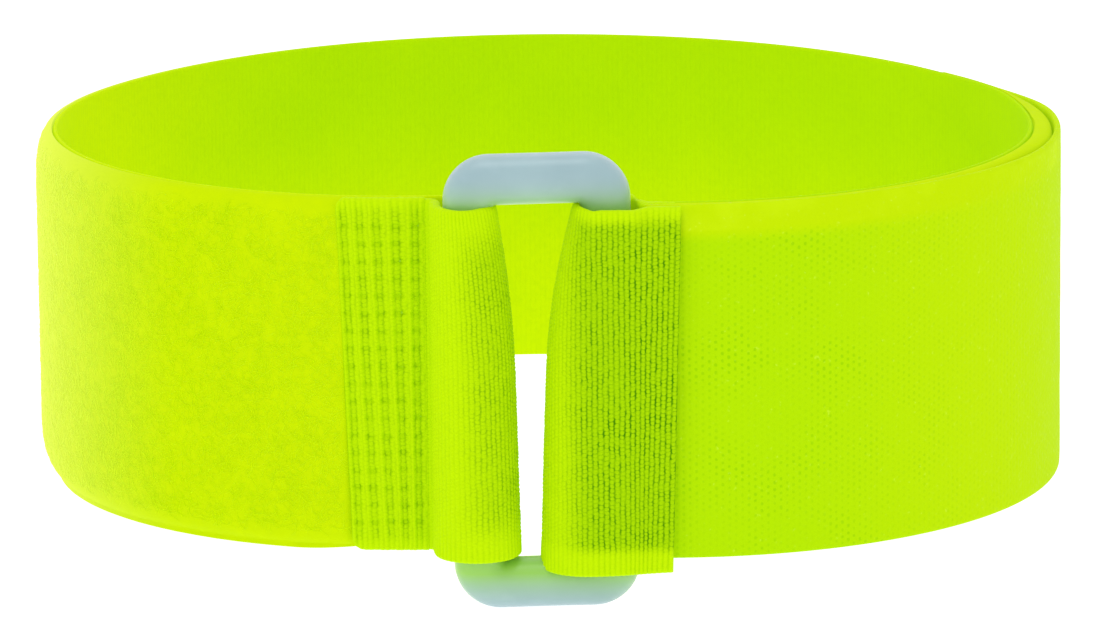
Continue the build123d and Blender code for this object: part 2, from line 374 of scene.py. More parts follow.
def pile_height(along, up):
    """Offset of the pile's outer surface, before its small lumps."""
    past = along - TAPE_TIP
    held = rise(past, -2.0, 3.0)
    free_height = np.maximum(PILE * rise(along - PILE_START, -1.2, 0.4), PRESSED_PILE)
    open_side = rise(past, 4.0, 10.0) * rise(past, 34.0, 24.0)
    held_height = HELD_PILE + 0.55 * open_side * rise(up, HALF_WIDTH - 2.1, HALF_WIDTH - 1.1)
    height = free_height * (1 - held) + held_height * held
    edge = from_edge(up) - PILE_EDGE
    return GROUND + height * (0.1 + 0.9 * rounding(edge + EDGE_FLAT, 3.4 - 2.9 * held))


def painted_sheen_depth(along, _up):
    """How saturated the pile looks: pale with a painted sheen at the band's left side, deep at the front.
    """
    past = along - STRAP.stations["left"]
    return 1 - rise(past, 16.0, 42.0) * rise(past, 76.0, 46.0)


def top_edge(along):
    """The strap's upper edge, which stands a little higher at the right rear."""
    past = (along - STRAP.stations["right"] + 3.5) / 6.0
    return HALF_WIDTH + RIM_RISE * np.exp(-(past**2))


def bottom_edge(along):
    """The strap's lower edge, which sags a little at the left front."""
    past = along - STRAP.stations["left"]
    return -HALF_WIDTH - FRONT_SAG * rise(past, 0.0, 8.0) * rise(past, 60.0, 35.0)


# ---------------- meshes


def put(name, data):
    """A new object in the scene."""
    thing = bpy.data.objects.new(name, data)
    bpy.context.scene.collection.objects.link(thing)
    return thing


def make_piece(name, vertices, faces, weave=None, smooth_angle=50.0):
    """A mesh object from vertices in millimetres. weave holds (along, up, shade) for each vertex."""
    mesh = bpy.data.meshes.new(name)
    mesh.from_pydata((np.asarray(vertices) * MM).tolist(), [], faces)
    if weave is not None:
        mesh.attributes.new("weave", "FLOAT_VECTOR", "POINT")
        mesh.attributes["weave"].data.foreach_set("vector", np.asarray(weave, np.float32).ravel())
    mesh.shade_smooth()
    mesh.set_sharp_from_angle(angle=radians(smooth_angle))
    return put(name, mesh)


def tube_faces(sections, points, closed=False):
    """Quads between neighbouring sections, each a loop of points, and the two end caps."""
    count = sections if closed else sections - 1
    first = (np.arange(count) * points)[:, None]
    second = ((np.arange(count) + 1) % sections * points)[:, None]
    here = np.arange(points)[None, :]
    after = (here + 1) % points
    faces = np.stack([first + here, second + here, second + after, first + after], axis=-1)
    faces = faces.reshape(-1, 4).tolist()
    if not closed:
        faces.append(list(range(points)))
        faces.append(list(range(sections * points - 1, (sections - 1) * points - 1, -1)))
    return faces


def circle(count):
    """Evenly spaced angles round a circle."""
    return 2 * pi * np.arange(count) / count


def steps(low, high, step):
    """Evenly spaced values from low to high, no further apart than step."""
    return np.linspace(low, high, max(2, int(np.ceil((high - low) / step)) + 1))


def edge_rows(step):
    """Shares of the tape's width: close rows round both edges, and rows a step apart between."""
    edge = np.array([0.0, 0.04, 0.1, 0.2, 0.35])
    inner = steps(edge[-1], STRAP_WIDTH - edge[-1], step)[1:-1]
    return np.concatenate([edge, inner, STRAP_WIDTH - edge[::-1]]) / STRAP_WIDTH


def level(height):
    """An edge at one height."""
    return lambda along: np.full_like(along, height)


def tape(name, route, span, step, near, far, edges, cut=(False, False), shift=None, press=None,
         slide=None, shade=None):
    """A length of tape as one closed skin, with sections a step apart.

    near and far each hold a face's offset and the spacing of its rows. edges holds the heights of
    the lower and the upper edge. cut says which ends are cut ends, with a rounded edge. shift moves
    each point in x, and press in y, from its x and its height. slide says how far the yarns have
    slid along the route at each place, and shade how deep their painted shade is, for the
    material; where it is low, the pile and the hook tape get a painted highlight instead.
    """
    along = steps(*span, step)[:, None]
    near_rows, far_rows = edge_rows(near[1]), edge_rows(far[1])
    share = np.concatenate([near_rows, far_rows[::-1]])[None, :]
    is_near = np.concatenate([np.ones(len(near_rows)), np.zeros(len(far_rows))])[None, :]
    bottom, top = edges[0](along), edges[1](along)
    up = bottom + (top - bottom) * share
    near_offset, far_offset = near[0](along, up), far[0](along, up)
    full = rounding(np.minimum(up - bottom, top - up) + EDGE_FLAT, CUT_RADIUS)
    if cut[0]:
        full = full * rounding(along - span[0] + END_FLAT, CUT_RADIUS)
    if cut[1]:
        full = full * rounding(span[1] - along + END_FLAT, CUT_RADIUS)
    middle = (near_offset + far_offset) / 2
    offset = middle + (np.where(is_near > 0, near_offset, far_offset) - middle) * full
    x, y = route.at(along, offset)
    if press:
        y = y + press(x, up)
    if shift:
        x = x + shift(x, up)
    vertices = np.stack([x, y, np.broadcast_to(up, x.shape)], axis=-1).reshape(-1, 3)
    depth = shade(along, up) if shade else 0.0
    yarn = along + slide(along, up) if slide else along
    weave = np.stack(np.broadcast_arrays(yarn, up, depth), axis=-1).reshape(-1, 3)
    return make_piece(name, vertices, tube_faces(*x.shape), weave)


def many(vertices, faces, copies):
    """The vertices of many like shapes as one list, and their faces."""
    count = vertices.shape[1]
    all_faces = [[corner + copy * count for corner in face] for copy in range(copies) for face in faces]
    return vertices.reshape(-1, 3), all_faces


# ---------------- materials


class Nodes:
    """Adds shader nodes to a material and links them."""

    def __init__(self, name):
        self.material = bpy.data.materials.new(name)
        self.material.use_nodes = True
        self.tree = self.material.node_tree
        self.shader = self.tree.nodes["Principled BSDF"]

    def add(self, kind, inputs=None, **settings):
        node = self.tree.nodes.new(kind)
        for key, value in settings.items():
            setattr(node, key, value)
        for key, value in (inputs or {}).items():
            self.feed(node.inputs[key], value)
        return node

    def feed(self, socket, value):
        if isinstance(value, bpy.types.NodeSocket):
            self.tree.links.new(value, socket)
        else:
            socket.default_value = value

    def maths(self, operation, first, second=0.0):
        return self.add("ShaderNodeMath", {0: first, 1: second}, operation=operation).outputs[0]

    def times(self, first, second):
        return self.maths("MULTIPLY", first, second)

    def weave(self):
        """The distance along a tape and the height up it in millimetres, and its depth of painted shade.
        """
        place = self.add("ShaderNodeAttribute", attribute_name="weave").outputs["Vector"]
        split = self.add("ShaderNodeSeparateXYZ", {0: place})
        return split.outputs[0], split.outputs[1], split.outputs[2]

    def humps(self, value, pitch, shift=0.0):
        """One rounded hump from 0 to 1 and back for each pitch."""
        turned = self.maths("ADD", self.times(value, pi / pitch), shift)
        return self.maths("ABSOLUTE", self.maths("SINE", turned))

    def odd(self, value, pitch):
        """0 on even cells of a pitch and 1 on odd ones."""
        return self.maths("MODULO", self.maths("FLOOR", self.maths("DIVIDE", value, pitch)), 2.0)

    def mix(self, share, first, second):
        node = self.add("ShaderNodeMix", data_type="RGBA")
        colours = [socket for socket in node.inputs if socket.type == "RGBA"]
        self.feed(node.inputs[0], share)
        self.feed(colours[0], first)
        self.feed(colours[1], second)
        return next(socket for socket in node.outputs if socket.type == "RGBA")

    def noise(self, scale, detail=3.0):
        place = self.add("ShaderNodeTexCoord").outputs["Object"]
        inputs = {"Vector": place, "Scale": scale, "Detail": detail}
        return self.add("ShaderNodeTexNoise", inputs).outputs["Fac"]

    def height(self, middle):
        """Distance above or below a height, in metres."""
        place = self.add("ShaderNodeTexCoord").outputs["Object"]
        height = self.add("ShaderNodeSeparateXYZ", {0: place}).outputs[2]
        return self.maths("ABSOLUTE", self.maths("SUBTRACT", height, middle))

    def between(self, value, low, high, to_low=0.0, to_high=1.0):
        """Maps low..high to to_low..to_high, clamped."""
        names = ("Value", "From Min", "From Max", "To Min", "To Max")
        values = (value, low, high, to_low, to_high)
        return self.add("ShaderNodeMapRange", dict(zip(names, values))).outputs[0]

    def bump(self, height, distance, strength=1.0):
        inputs = {"Height": height, "Distance": distance * MM, "Strength": strength}
        return self.add("ShaderNodeBump", inputs).outputs[0]

    def finish(self, **sockets):
        for name, value in sockets.items():
            self.feed(self.shader.inputs[name.replace("_", " ")], value)
        return self.material


def rgb(red, green, blue):
    """A colour from 0..255 screen values, as linear RGBA."""
    def linear(value):
        value /= 255
        return value / 12.92 if value <= 0.04045 else ((value + 0.055) / 1.055) ** 2.4
    return (linear(red), linear(green), linear(blue), 1.0)


SHEEN_TINT = rgb(240, 252, 120)
MATTE = 0.03  # specular level of dyed yarn


def yarn_cloth(nodes, colour, roughness, normal, sheen, glow=GLOW):
    """Finishes a fluorescent fabric, whose glow is partly the dye's fluorescence and partly a painted fill
    light that lifts its shade.
    """
    return nodes.finish(
        Base_Color=colour,
        Roughness=roughness,
        Normal=normal,
        Emission_Color=colour,
        Emission_Strength=glow,
        Specular_IOR_Level=MATTE,
        Sheen_Weight=sheen,
        Sheen_Roughness=0.35,
        Sheen_Tint=SHEEN_TINT,
    )


def ribbed_material(name, light, deep, darkest):
    """The strap's fine wrist side: soft vertical ribs, with painted shade in their valleys, random
    mottling, and a deeper painted shade where the weave's shade is high.
    """
    nodes = Nodes(name)
    along, _, depth = nodes.weave()
    rib = nodes.humps(along, RIB)
    patches = nodes.noise(140.0, 4.0)
    yarn = nodes.noise(2400.0, 2.0)
    # Painted shade in the rib valleys, with random mottling of the yarn and of patches.
    shade_and_mottle = nodes.between(rib, 0.0, 0.8, 0.06, 0.0)
    shade_and_mottle = nodes.maths("ADD", shade_and_mottle, nodes.between(yarn, 0.3, 0.6, 0.08, 0.0))
    shade_and_mottle = nodes.maths("ADD", shade_and_mottle, nodes.between(patches, 0.35, 0.65, 0.08, 0.0))
    colour = nodes.mix(shade_and_mottle, nodes.mix(depth, light, deep), darkest)
    roughness = nodes.between(yarn, 0.3, 0.7, 0.7, 0.88)
    return yarn_cloth(nodes, colour, roughness, nodes.bump(yarn, 0.03, 0.3), 0.02)


def stitched_material(name, light, deep, darkest):
    """The strap's ribbed face where it is folded to the front: beaded yarns with painted shade in the gaps
    between them, and a deeper painted shade where the weave's shade is high.
    """
    nodes = Nodes(name)
    along, up, depth = nodes.weave()
    wander = nodes.between(nodes.noise(900.0, 3.0), 0.3, 0.7, -0.11, 0.11)
    rib = nodes.humps(nodes.maths("ADD", along, nodes.times(wander, 0.5)), RIB)
    stitch = nodes.humps(nodes.maths("ADD", up, wander), BEAD, nodes.times(nodes.odd(along, RIB), pi / 2))
    height = nodes.times(rib, nodes.between(stitch, 0.0, 0.9, 0.35, 1.0))
    patches = nodes.noise(260.0, 5.0)
    yarn = nodes.noise(2600.0, 2.0)
    # Painted shade in the gaps between beads and ribs, made uneven by the yarn and the patches.
    shade_and_mottle = nodes.between(height, 0.15, 0.65, 1.0, 0.0)
    shade_and_mottle = nodes.times(shade_and_mottle, nodes.between(yarn, 0.35, 0.6, 1.0, 0.35))
    shade_and_mottle = nodes.times(shade_and_mottle, nodes.between(patches, 0.35, 0.65, 0.7, 1.1))
    colour = nodes.mix(nodes.times(depth, 0.6), light, deep)
    colour = nodes.mix(nodes.times(shade_and_mottle, nodes.between(depth, 0.0, 1.0, 0.12, 1.0)), colour, darkest)
    roughness = nodes.between(yarn, 0.3, 0.7, 0.6, 0.8)
    return yarn_cloth(nodes, colour, roughness, nodes.bump(yarn, 0.04, 0.4), 0.03)


def pile_material(name, pale, light, deep, glow):
    """Brushed pile: a fine tangle over a deeper ground, paler where a painted sheen is laid on."""
    nodes = Nodes(name)
    _, _, depth = nodes.weave()
    tangle = nodes.noise(1500.0, 6.0)
    tufts = nodes.noise(300.0, 5.0)
    share = nodes.maths("ADD", nodes.times(tangle, 0.5), nodes.times(tufts, 0.5))
    share = nodes.between(share, 0.42, 0.6)
    roughness = nodes.between(tangle, 0.3, 0.7, 0.8, 0.95)
    # pale is a painted sheen, laid on where depth is low.
    colour = nodes.mix(depth, pale, nodes.mix(share, deep, light))
    return yarn_cloth(nodes, colour, roughness, nodes.bump(share, 0.05, 0.3), 0.12, glow)


def tape_material(name):
    """Back of the hook tape: a close weave of short staggered floats, with painted shade in the dimples
    between them, deeper next to the tab, a painted highlight along the upper edge and small painted
    glints.
    """
    nodes = Nodes(name)
    along, up, depth = nodes.weave()
    cell_along, cell_up = FLOAT
    wander = nodes.between(nodes.noise(650.0, 3.0), 0.3, 0.7, -0.1, 0.1)
    shift = nodes.times(nodes.odd(along, cell_along), pi / 2)
    stitch = nodes.humps(nodes.maths("ADD", up, wander), cell_up, shift)
    dimple = nodes.times(nodes.humps(along, cell_along), stitch)
    patches = nodes.noise(230.0, 4.0)
    yarn = nodes.noise(2600.0, 2.0)
    glint = nodes.noise(3200.0, 2.0)
    dimple = nodes.times(dimple, nodes.between(nodes.noise(1000.0, 3.0), 0.35, 0.6, 0.8, 1.1))
    # Painted shade in the dimples between floats, uneven in patches.
    painted_dimple_shade = nodes.times(nodes.between(dimple, 0.62, 0.95), depth)
    painted_dimple_shade = nodes.times(painted_dimple_shade, nodes.between(patches, 0.35, 0.6, 0.6, 0.1))
    colour = nodes.mix(painted_dimple_shade, nodes.mix(depth, rgb(170, 201, 0), rgb(153, 198, 0)), rgb(116, 172, 0))
    # pale is a painted highlight in blotches along the upper edge, where the tape leans in under the
    # light.
    pale = nodes.times(nodes.between(depth, 0.0, 0.12, 1.0, 0.0), nodes.between(patches, 0.45, 0.6))
    colour = nodes.mix(nodes.times(pale, 0.2), colour, rgb(190, 218, 24))
    colour = nodes.mix(nodes.between(glint, 0.68, 0.76, 0.0, 0.18), colour, rgb(214, 236, 80))
    roughness = nodes.between(glint, 0.5, 0.7, 0.75, 0.5)
    return yarn_cloth(nodes, colour, roughness, nodes.bump(yarn, 0.03, 0.4), 0.02)


def hook_material(name):
    """Moulded nylon hooks, a little glossy."""
    nodes = Nodes(name)
    streak = nodes.noise(900.0, 3.0)
    return nodes.finish(
        Base_Color=nodes.mix(nodes.between(streak, 0.35, 0.65), rgb(190, 238, 4), rgb(212, 248, 40)),
        Roughness=nodes.between(streak, 0.3, 0.7, 0.28, 0.45),
        Specular_IOR_Level=0.3,
    )


def weld_material(name):
    """Fused yarn at the bottom of a weld spot."""
    nodes = Nodes(name)
    melt = nodes.noise(1400.0, 4.0)
    return nodes.finish(
        Base_Color=nodes.mix(nodes.between(melt, 0.35, 0.65), rgb(150, 200, 0), rgb(166, 212, 0)),
        Roughness=nodes.between(melt, 0.3, 0.7, 0.4, 0.65),
        Normal=nodes.bump(melt, 0.05, 0.5),
        Specular_IOR_Level=0.2,
    )


def ring_material(name):
    """Satin moulded plastic, milky pale blue, with faint flow marks, and painted green light bounced from
    the strap near the cloth.
    """
    nodes = Nodes(name)
    cloud = nodes.noise(130.0, 4.0)
    flow = nodes.noise(420.0, 5.0)
    grain = nodes.noise(5200.0, 2.0)
    colour = nodes.mix(nodes.between(cloud, 0.35, 0.65), rgb(140, 168, 175), rgb(150, 178, 183))
    colour = nodes.mix(nodes.between(flow, 0.55, 0.75, 0.0, 0.25), colour, rgb(172, 194, 202))
    # Painted light: near the cloth the ring takes on the green light bounced from the strap.
    painted_bounce = nodes.between(nodes.height(PAINTED_BOUNCE_MIDDLE * MM), PAINTED_BOUNCE_END * MM, PAINTED_BOUNCE_START * MM)
    colour = nodes.mix(nodes.times(nodes.times(painted_bounce, painted_bounce), 0.9), colour, rgb(142, 198, 50))
    return nodes.finish(
        Base_Color=colour,
        Roughness=nodes.between(flow, 0.3, 0.7, 0.38, 0.52),
        Normal=nodes.bump(grain, 0.004, 0.4),
        Subsurface_Weight=0.2,
        Subsurface_Scale=0.0015,
        Subsurface_Radius=(0.8, 1.0, 1.0),
        Coat_Weight=0.5,
        Coat_Roughness=0.3,
        Sheen_Weight=0.25,
        Sheen_Roughness=0.45,
    )


# Strap colours: light, a deeper painted shade, and the darkest painted shade in the gaps between ribs and
# stitches, mixed with mottling.
RIBBED_LOOK = ribbed_material("strap_wrist_side", rgb(184, 211, 0), rgb(163, 204, 0), rgb(120, 176, 0))
STITCHED_LOOK = stitched_material("strap_folded", rgb(170, 207, 0), rgb(128, 176, 0), rgb(64, 122, 0))
# The pale first colour of the pile and of its fibres is a painted sheen, and their two and three times the
# glow is a painted fill light that lifts the shade among the fibres.
PILE_LOOK = pile_material("pile_ground", rgb(188, 202, 68), rgb(164, 189, 0), rgb(161, 187, 0), 2 * GLOW)
FIBRE_LOOK = pile_material("pile_fibre", rgb(194, 205, 88), rgb(171, 195, 2), rgb(165, 192, 0), 3 * GLOW)
TAPE_LOOK = tape_material("hook_tape_back")
HOOK_LOOK = hook_material("nylon_hooks")
WELD_LOOK = weld_material("fused_yarn")
RING_LOOK = ring_material("ring_plastic")


def dress(piece, look, body=None, nodes=()):
    """Gives a piece its material, its body and the CAD nodes that it stands for."""
    piece.data.materials.append(look)
    if body:
        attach(piece, body)
    if nodes:
        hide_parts(*nodes)


# ---------------- strap round the wrist


def strap_ground():
    """The strap's ground from the ring's left bar round to the right front."""
    span = (STRAP.stations["band"], STRAP.stations["cinch"])

    def wrist_side(along, up):
        inside = rise(from_edge(up), 0.0, 1.2)
        return 0.02 - inside * (0.01 * ribs(along) + 0.012 * lumps(along, up, 0.8, SEED))

    def back(along, up):
        inside = rise(from_edge(up), 0.0, 1.2)
        return GROUND - 0.12 * (1 - inside) + inside * 0.02 * lumps(along, up, 0.6, SEED + 1)

    # Painted shade: the strap's rear is deeper in colour towards its top and lighter low down, where the
    # floor lights it.
    def painted_rear_shade(along, up):
        past = along - STRAP.stations["left"]
        return rise(up, -6.0, 9.0) * rise(past, 50.0, 74.0)

    piece = tape(
        "strap_band_ground", STRAP, span, step=RIB / 5, near=(wrist_side, 1.8), far=(back, 6.0),
        edges=(bottom_edge, top_edge), shade=painted_rear_shade,
    )
    dress(piece, RIBBED_LOOK, "band", ["strap_band"])


def pile_skin():
    """The brushed pile as one lumpy closed skin, from under the fold's end to the right front."""
    span = (PILE_START - 1.2, STRAP.stations["cinch"])

    def root(_along, _up):
        return GROUND - PILE_SUNK

    def brushed(along, up):
        relief = 0.012 * lumps(along, up, 0.7, SEED + 2) + 0.012 * lumps(along, up, 2.6, SEED + 3)
        relief = relief + 0.01 * lumps(along, up, 0.3, SEED + 4)
        return pile_height(along, up) - PILE_SUNK + relief * rise(along - PILE_START, 0.0, 1.5)

    def low(along):
        return bottom_edge(along) + PILE_EDGE

    def high(along):
        return top_edge(along) - PILE_EDGE

    piece = tape(
        "loop_pile_ground", STRAP, span, step=0.24, near=(root, 4.0), far=(brushed, 0.26),
        edges=(low, high), cut=(True, True), shade=painted_sheen_depth,
    )
    dress(piece, PILE_LOOK, "band", ["loop_pile"])


def pile_fibres(name, span, count, seed):
    """Short brushed loops, each a thin arch that lies nearly flat in its own direction."""
    draw = np.random.default_rng(seed)
    middle = draw.uniform(*span, count)[:, None]
    height = draw.uniform(-FIBRE_HALF, FIBRE_HALF, count)[:, None]
    heading = draw.uniform(0, 2 * pi, count)[:, None]
    length = draw.uniform(*FIBRE_LENGTH, count)[:, None]
    bow = length * draw.uniform(-FIBRE_BOW, FIBRE_BOW, count)[:, None]
    lift = draw.uniform(0.0, FIBRE_RISE, count)[:, None]
    thickness = draw.uniform(*FIBRE_RADIUS, count)[:, None]
    reach = np.linspace(0, 1, 4)[None, :]
    arch = np.sin(pi * reach)
    along = middle + length * (reach - 0.5) * np.cos(heading) - bow * arch * np.sin(heading)
    up = height + length * (reach - 0.5) * np.sin(heading) + bow * arch * np.cos(heading)
    up = np.clip(up, -HALF_WIDTH + 0.5, HALF_WIDTH - 0.5)
    offset = pile_height(along, up) - PILE_SUNK - 0.01 + lift * (0.15 + arch)
    corners = np.array([[0.0, 1.0], [0.87, -0.5], [-0.87, -0.5]])
    sideways, outwards = corners[:, 0], corners[:, 1]
    radius = thickness[..., None] * np.ones_like(arch)[..., None]
    ring_along = along[..., None] - radius * sideways * np.sin(heading)[..., None]
    ring_up = up[..., None] + radius * sideways * np.cos(heading)[..., None]
    ring_offset = offset[..., None] + radius * outwards
    x, y = STRAP.at(ring_along, ring_offset)
    vertices = np.stack([x, y, ring_up], axis=-1).reshape(count, -1, 3)
    vertices, faces = many(vertices, tube_faces(4, 3), count)
    weave = np.stack(np.broadcast_arrays(ring_along, ring_up, painted_sheen_depth(ring_along, ring_up)), axis=-1)
    piece = make_piece(name, vertices, faces, weave.reshape(-1, 3), smooth_angle=180.0)
    dress(piece, FIBRE_LOOK, "band")


def all_fibres():
    """Fibres over the whole pile, fewer where the hook tape presses on them."""
    bounds = np.linspace(PILE_START, TAPE_TIP, FREE_STRETCHES + 1)
    for index, span in enumerate(zip(bounds[:-1], bounds[1:])):
        pile_fibres(f"pile_fibres_{index + 1}", span, FREE_FIBRES, SEED + 20 + index)
    pile_fibres("pile_fibres_held", (TAPE_TIP, STRAP.stations["cinch"] - 0.8), HELD_FIBRES, SEED + 30)


# ---------------- fold round the left bar


def folded_face(along, up):
    """Relief of the strap's ribbed face where it is folded to the front."""
    return 0.05 - 0.1 * stitched(along, up) - 0.02 * lumps(along, up, 0.7, SEED + 5)


def inner_shade(up, margin):
    """1 in the middle of the tape and 0 along its edges."""
    return rise(from_edge(up), 0.3 * margin, 1.3 * margin)


def folded_back(along, up):
    """The pressed pile on the inside of a fold."""
    return FOLDED - 0.03 + 0.03 * lumps(along, up, 0.5, SEED + 6)


def lean(up, slope, top):
    """A lean of slope for each millimetre of height, which grows by top towards the upper edge."""
    return slope * up + top * np.clip(up / HALF_WIDTH, 0, 1) ** 2


def fold_slant(x, up):
    """The fold's cut end leans a little to the left at the top."""
    return -(0.036 * up + 0.08) * rise(x - FOLD_END_X, 5.5, 2.5)


def anchor_fold():
    """The folded end, welded down in a grid of pits."""
    span = (0.0, STRAP.stations["ramp"])

    def columns(along):
        """1 on a column of pits and -1 between two."""
        return np.cos(2 * pi * (along - WELD_START) / WELD_COLUMN_PITCH)

    def quilted(along, up):
        return folded_face(along, up) + 0.05 * columns(along) + 0.17 * weld_pits(along, up)

    # Painted shade over the weld, deepest in its pits and down its sunk columns, fading out towards the
    # edges.
    def painted_weld_shade(along, up):
        return (0.25 + 0.15 * columns(along)) * inner_shade(up, 0.8) + 0.15 * weld_pits(along, up)

    def corner(height, radius=0.8):
        return lambda along: height - np.sign(height) * radius * (1 - rounding(along, radius))

    piece = tape(
        "anchor_fold_cloth", STRAP, span, step=RIB / 6, near=(quilted, 0.06), far=(folded_back, 6.0),
        edges=(corner(-HALF_WIDTH - 0.2), corner(HALF_WIDTH + 0.1)), cut=(True, False),
        shift=fold_slant, shade=painted_weld_shade,
    )
    dress(piece, STITCHED_LOOK, "band", ["anchor_fold"])


def anchor_wrap():
    """The turn round the ring's left bar, tighter at its upper edge."""
    span = (STRAP.stations["ramp"], STRAP.stations["band"])
    crown = STRAP.stations["anchor_turn"] + 0.45 * pi * ANCHOR_RADIUS

    def tighter(x, up):
        return lean(up, -0.023, -1.0) * rise(x - LEFT_BAR_X, -ANCHOR_RADIUS, ANCHOR_RADIUS)

    # Painted shade on the turn past its crown, where it faces away from the light, fading out towards the
    # edges.
    def painted_turn_shade(along, up):
        return 0.55 * rise(along - crown, -1.5, 1.5) * inner_shade(up, 3.0)

    piece = tape(
        "anchor_wrap_cloth", STRAP, span, step=RIB / 5, near=(folded_face, 0.06), far=(folded_back, 6.0),
        edges=(level(-HALF_WIDTH - 0.15), level(HALF_WIDTH)), shift=tighter, shade=painted_turn_shade,
    )
    dress(piece, STITCHED_LOOK, "band")


# ---------------- turn round the right bar


def turn_shift(x, up):
    """The loose turn leans to the right at the top, where it is tight round the bar."""
    return (0.28 + lean(up, 0.035, 1.62)) * rise(x - CINCH_X + CINCH_RADIUS, 5.0, 0.0)


def upper_lean(up):
    """How far the upper edge of the hook tape and of the tab leans in on to the strap's rim."""
    return RIM_LEAN * rise(up, HALF_WIDTH - 2.0, HALF_WIDTH)


def turn_slide(along, up):
    """How far the yarns slide round the turn where it leans, so that they stay upright in front."""
    x, _ = STRAP.at(along)
    return turn_shift(x, up)


def tight_back(along, up):
    """The inside of the turn, pressed thinner at the top, where it is tight round the bar."""
    return folded_back(along, up) - 0.5 * rise(up, 6.0, 10.0) * rise(np.abs(along - TURN_MIDDLE), 6.0, 4.0)


def turn_drop(along):
    """The turn's lower edge, which hangs below the strap's."""
    past = along - TURN_MIDDLE
    return -HALF_WIDTH - TURN_HANG * rise(past, -4.5, 1.5) + 0.3 * rise(past, 5.0, 13.0)


def cinch_back():
    """From the right front to behind the ring's right bar, as far as the turn's left edge."""
    span = (STRAP.stations["cinch"], TURN_MIDDLE)

    def clear_of_ring(x, up):
        """The step follows the ring's lean, to the right at its foot."""
        beside = rise(x, 3.5, 5.0) * rise(x, RIGHT_CENTRE[0], RIGHT_CENTRE[0] - 1.5)
        return turn_shift(x, up) + 0.35 * beside * rise(up, 0.0, -HALF_WIDTH)

    def closed_up(x, up):
        """Beside the bar, the step's upper edge comes forward to the tab."""
        beside = rise(x, 5.95, 6.4) * rise(x, RIGHT_CENTRE[0] - 1.0, RIGHT_CENTRE[0] - 2.5)
        return -STEP_PRESS * beside * rise(up, HALF_WIDTH - 2.4, HALF_WIDTH - 0.2)

    piece = tape(
        "cinch_back_cloth", STRAP, span, step=RIB / 6, near=(folded_face, 0.12), far=(tight_back, 0.5),
        edges=(turn_drop, level(HALF_WIDTH)), shift=clear_of_ring, press=closed_up,
    )
    dress(piece, STITCHED_LOOK, "band", ["cinch_fold"])


def strap_tab():
    """The front of the turn and the tab."""
    span = (TURN_MIDDLE, STRAP.stations["end"])

    def leaned(surface):
        """The tab's upper edge leans back with the tape behind it."""
        def offset(along, up):
            beyond = along - STRAP.stations["tab"] - (TAPE_START_X - CINCH_X)
            return surface(along, up) + rise(beyond, -1.0, 0.2) * upper_lean(up)
        return offset

    def leaning(x, up):
        return turn_shift(x, up) + (0.028 * up - 0.15) * rise(x, 5.0, 8.0)

    def slid_face(along, up):
        return folded_face(along + turn_slide(along, up), up)

    def shadowed(along, up):
        past = along + turn_slide(along, up) - TURN_MIDDLE
        return (0.1 + 0.9 * rise(past, 2.6, 5.2)) * inner_shade(up, 1.1)

    piece = tape(
        "strap_tab_cloth", STRAP, span, step=RIB / 6, near=(leaned(slid_face), 0.06),
        far=(leaned(tight_back), 1.0), edges=(turn_drop, level(HALF_WIDTH)), cut=(False, True),
        shift=leaning, slide=turn_slide, shade=shadowed,
    )
    dress(piece, STITCHED_LOOK, nodes=["strap_tab"])
    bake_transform(piece)


# ---------------- hook tape


def tape_lean(along, up):
    """How far the tape's upper edge leans in, less and less from the front right to the side."""
    return rise(along, 38.0, 14.0) * upper_lean(up)


def tape_top(along):
    """The tape's upper edge, which runs a little downhill towards its tip."""
    return HALF_WIDTH - TAPE_DROP * rise(along - TAPE_BACK.stations["tip"], 0.0, 14.0)


def tape_back(along, up):
    """Offset of the tape's back, which shows its floats."""
    cell_along, cell_up = FLOAT
    odd = np.floor(along / cell_along) % 2
    stitch = np.abs(np.sin(pi * (up / cell_up + odd / 2)))
    float_height = rise(np.abs(np.sin(pi * along / cell_along)) * stitch, 0.9, 0.5)
    inside = rise(from_edge(up), 0.0, 0.8)
    relief = 0.022 * float_height + 0.02 * lumps(along, up, 1.3, SEED + 7)
    return 0.02 + tape_lean(along, up) - inside * relief


def tape_shade(along, up):
    """How deep the tape's painted shade is: most in the dimples next to the tab, and none along the upper
    edge, which gets a painted highlight instead.
    """
    fade = 1 - 0.75 * rise(along, 8.0, 30.0)
    return 0.85 * fade * rise(up, HALF_WIDTH - 1.4, HALF_WIDTH - 2.6)


def tape_front(along, up):
    """Offset of the hooks' side."""
    return TAPE + tape_lean(along, up) + 0.01 * lumps(along, up, 0.8, SEED + 8)


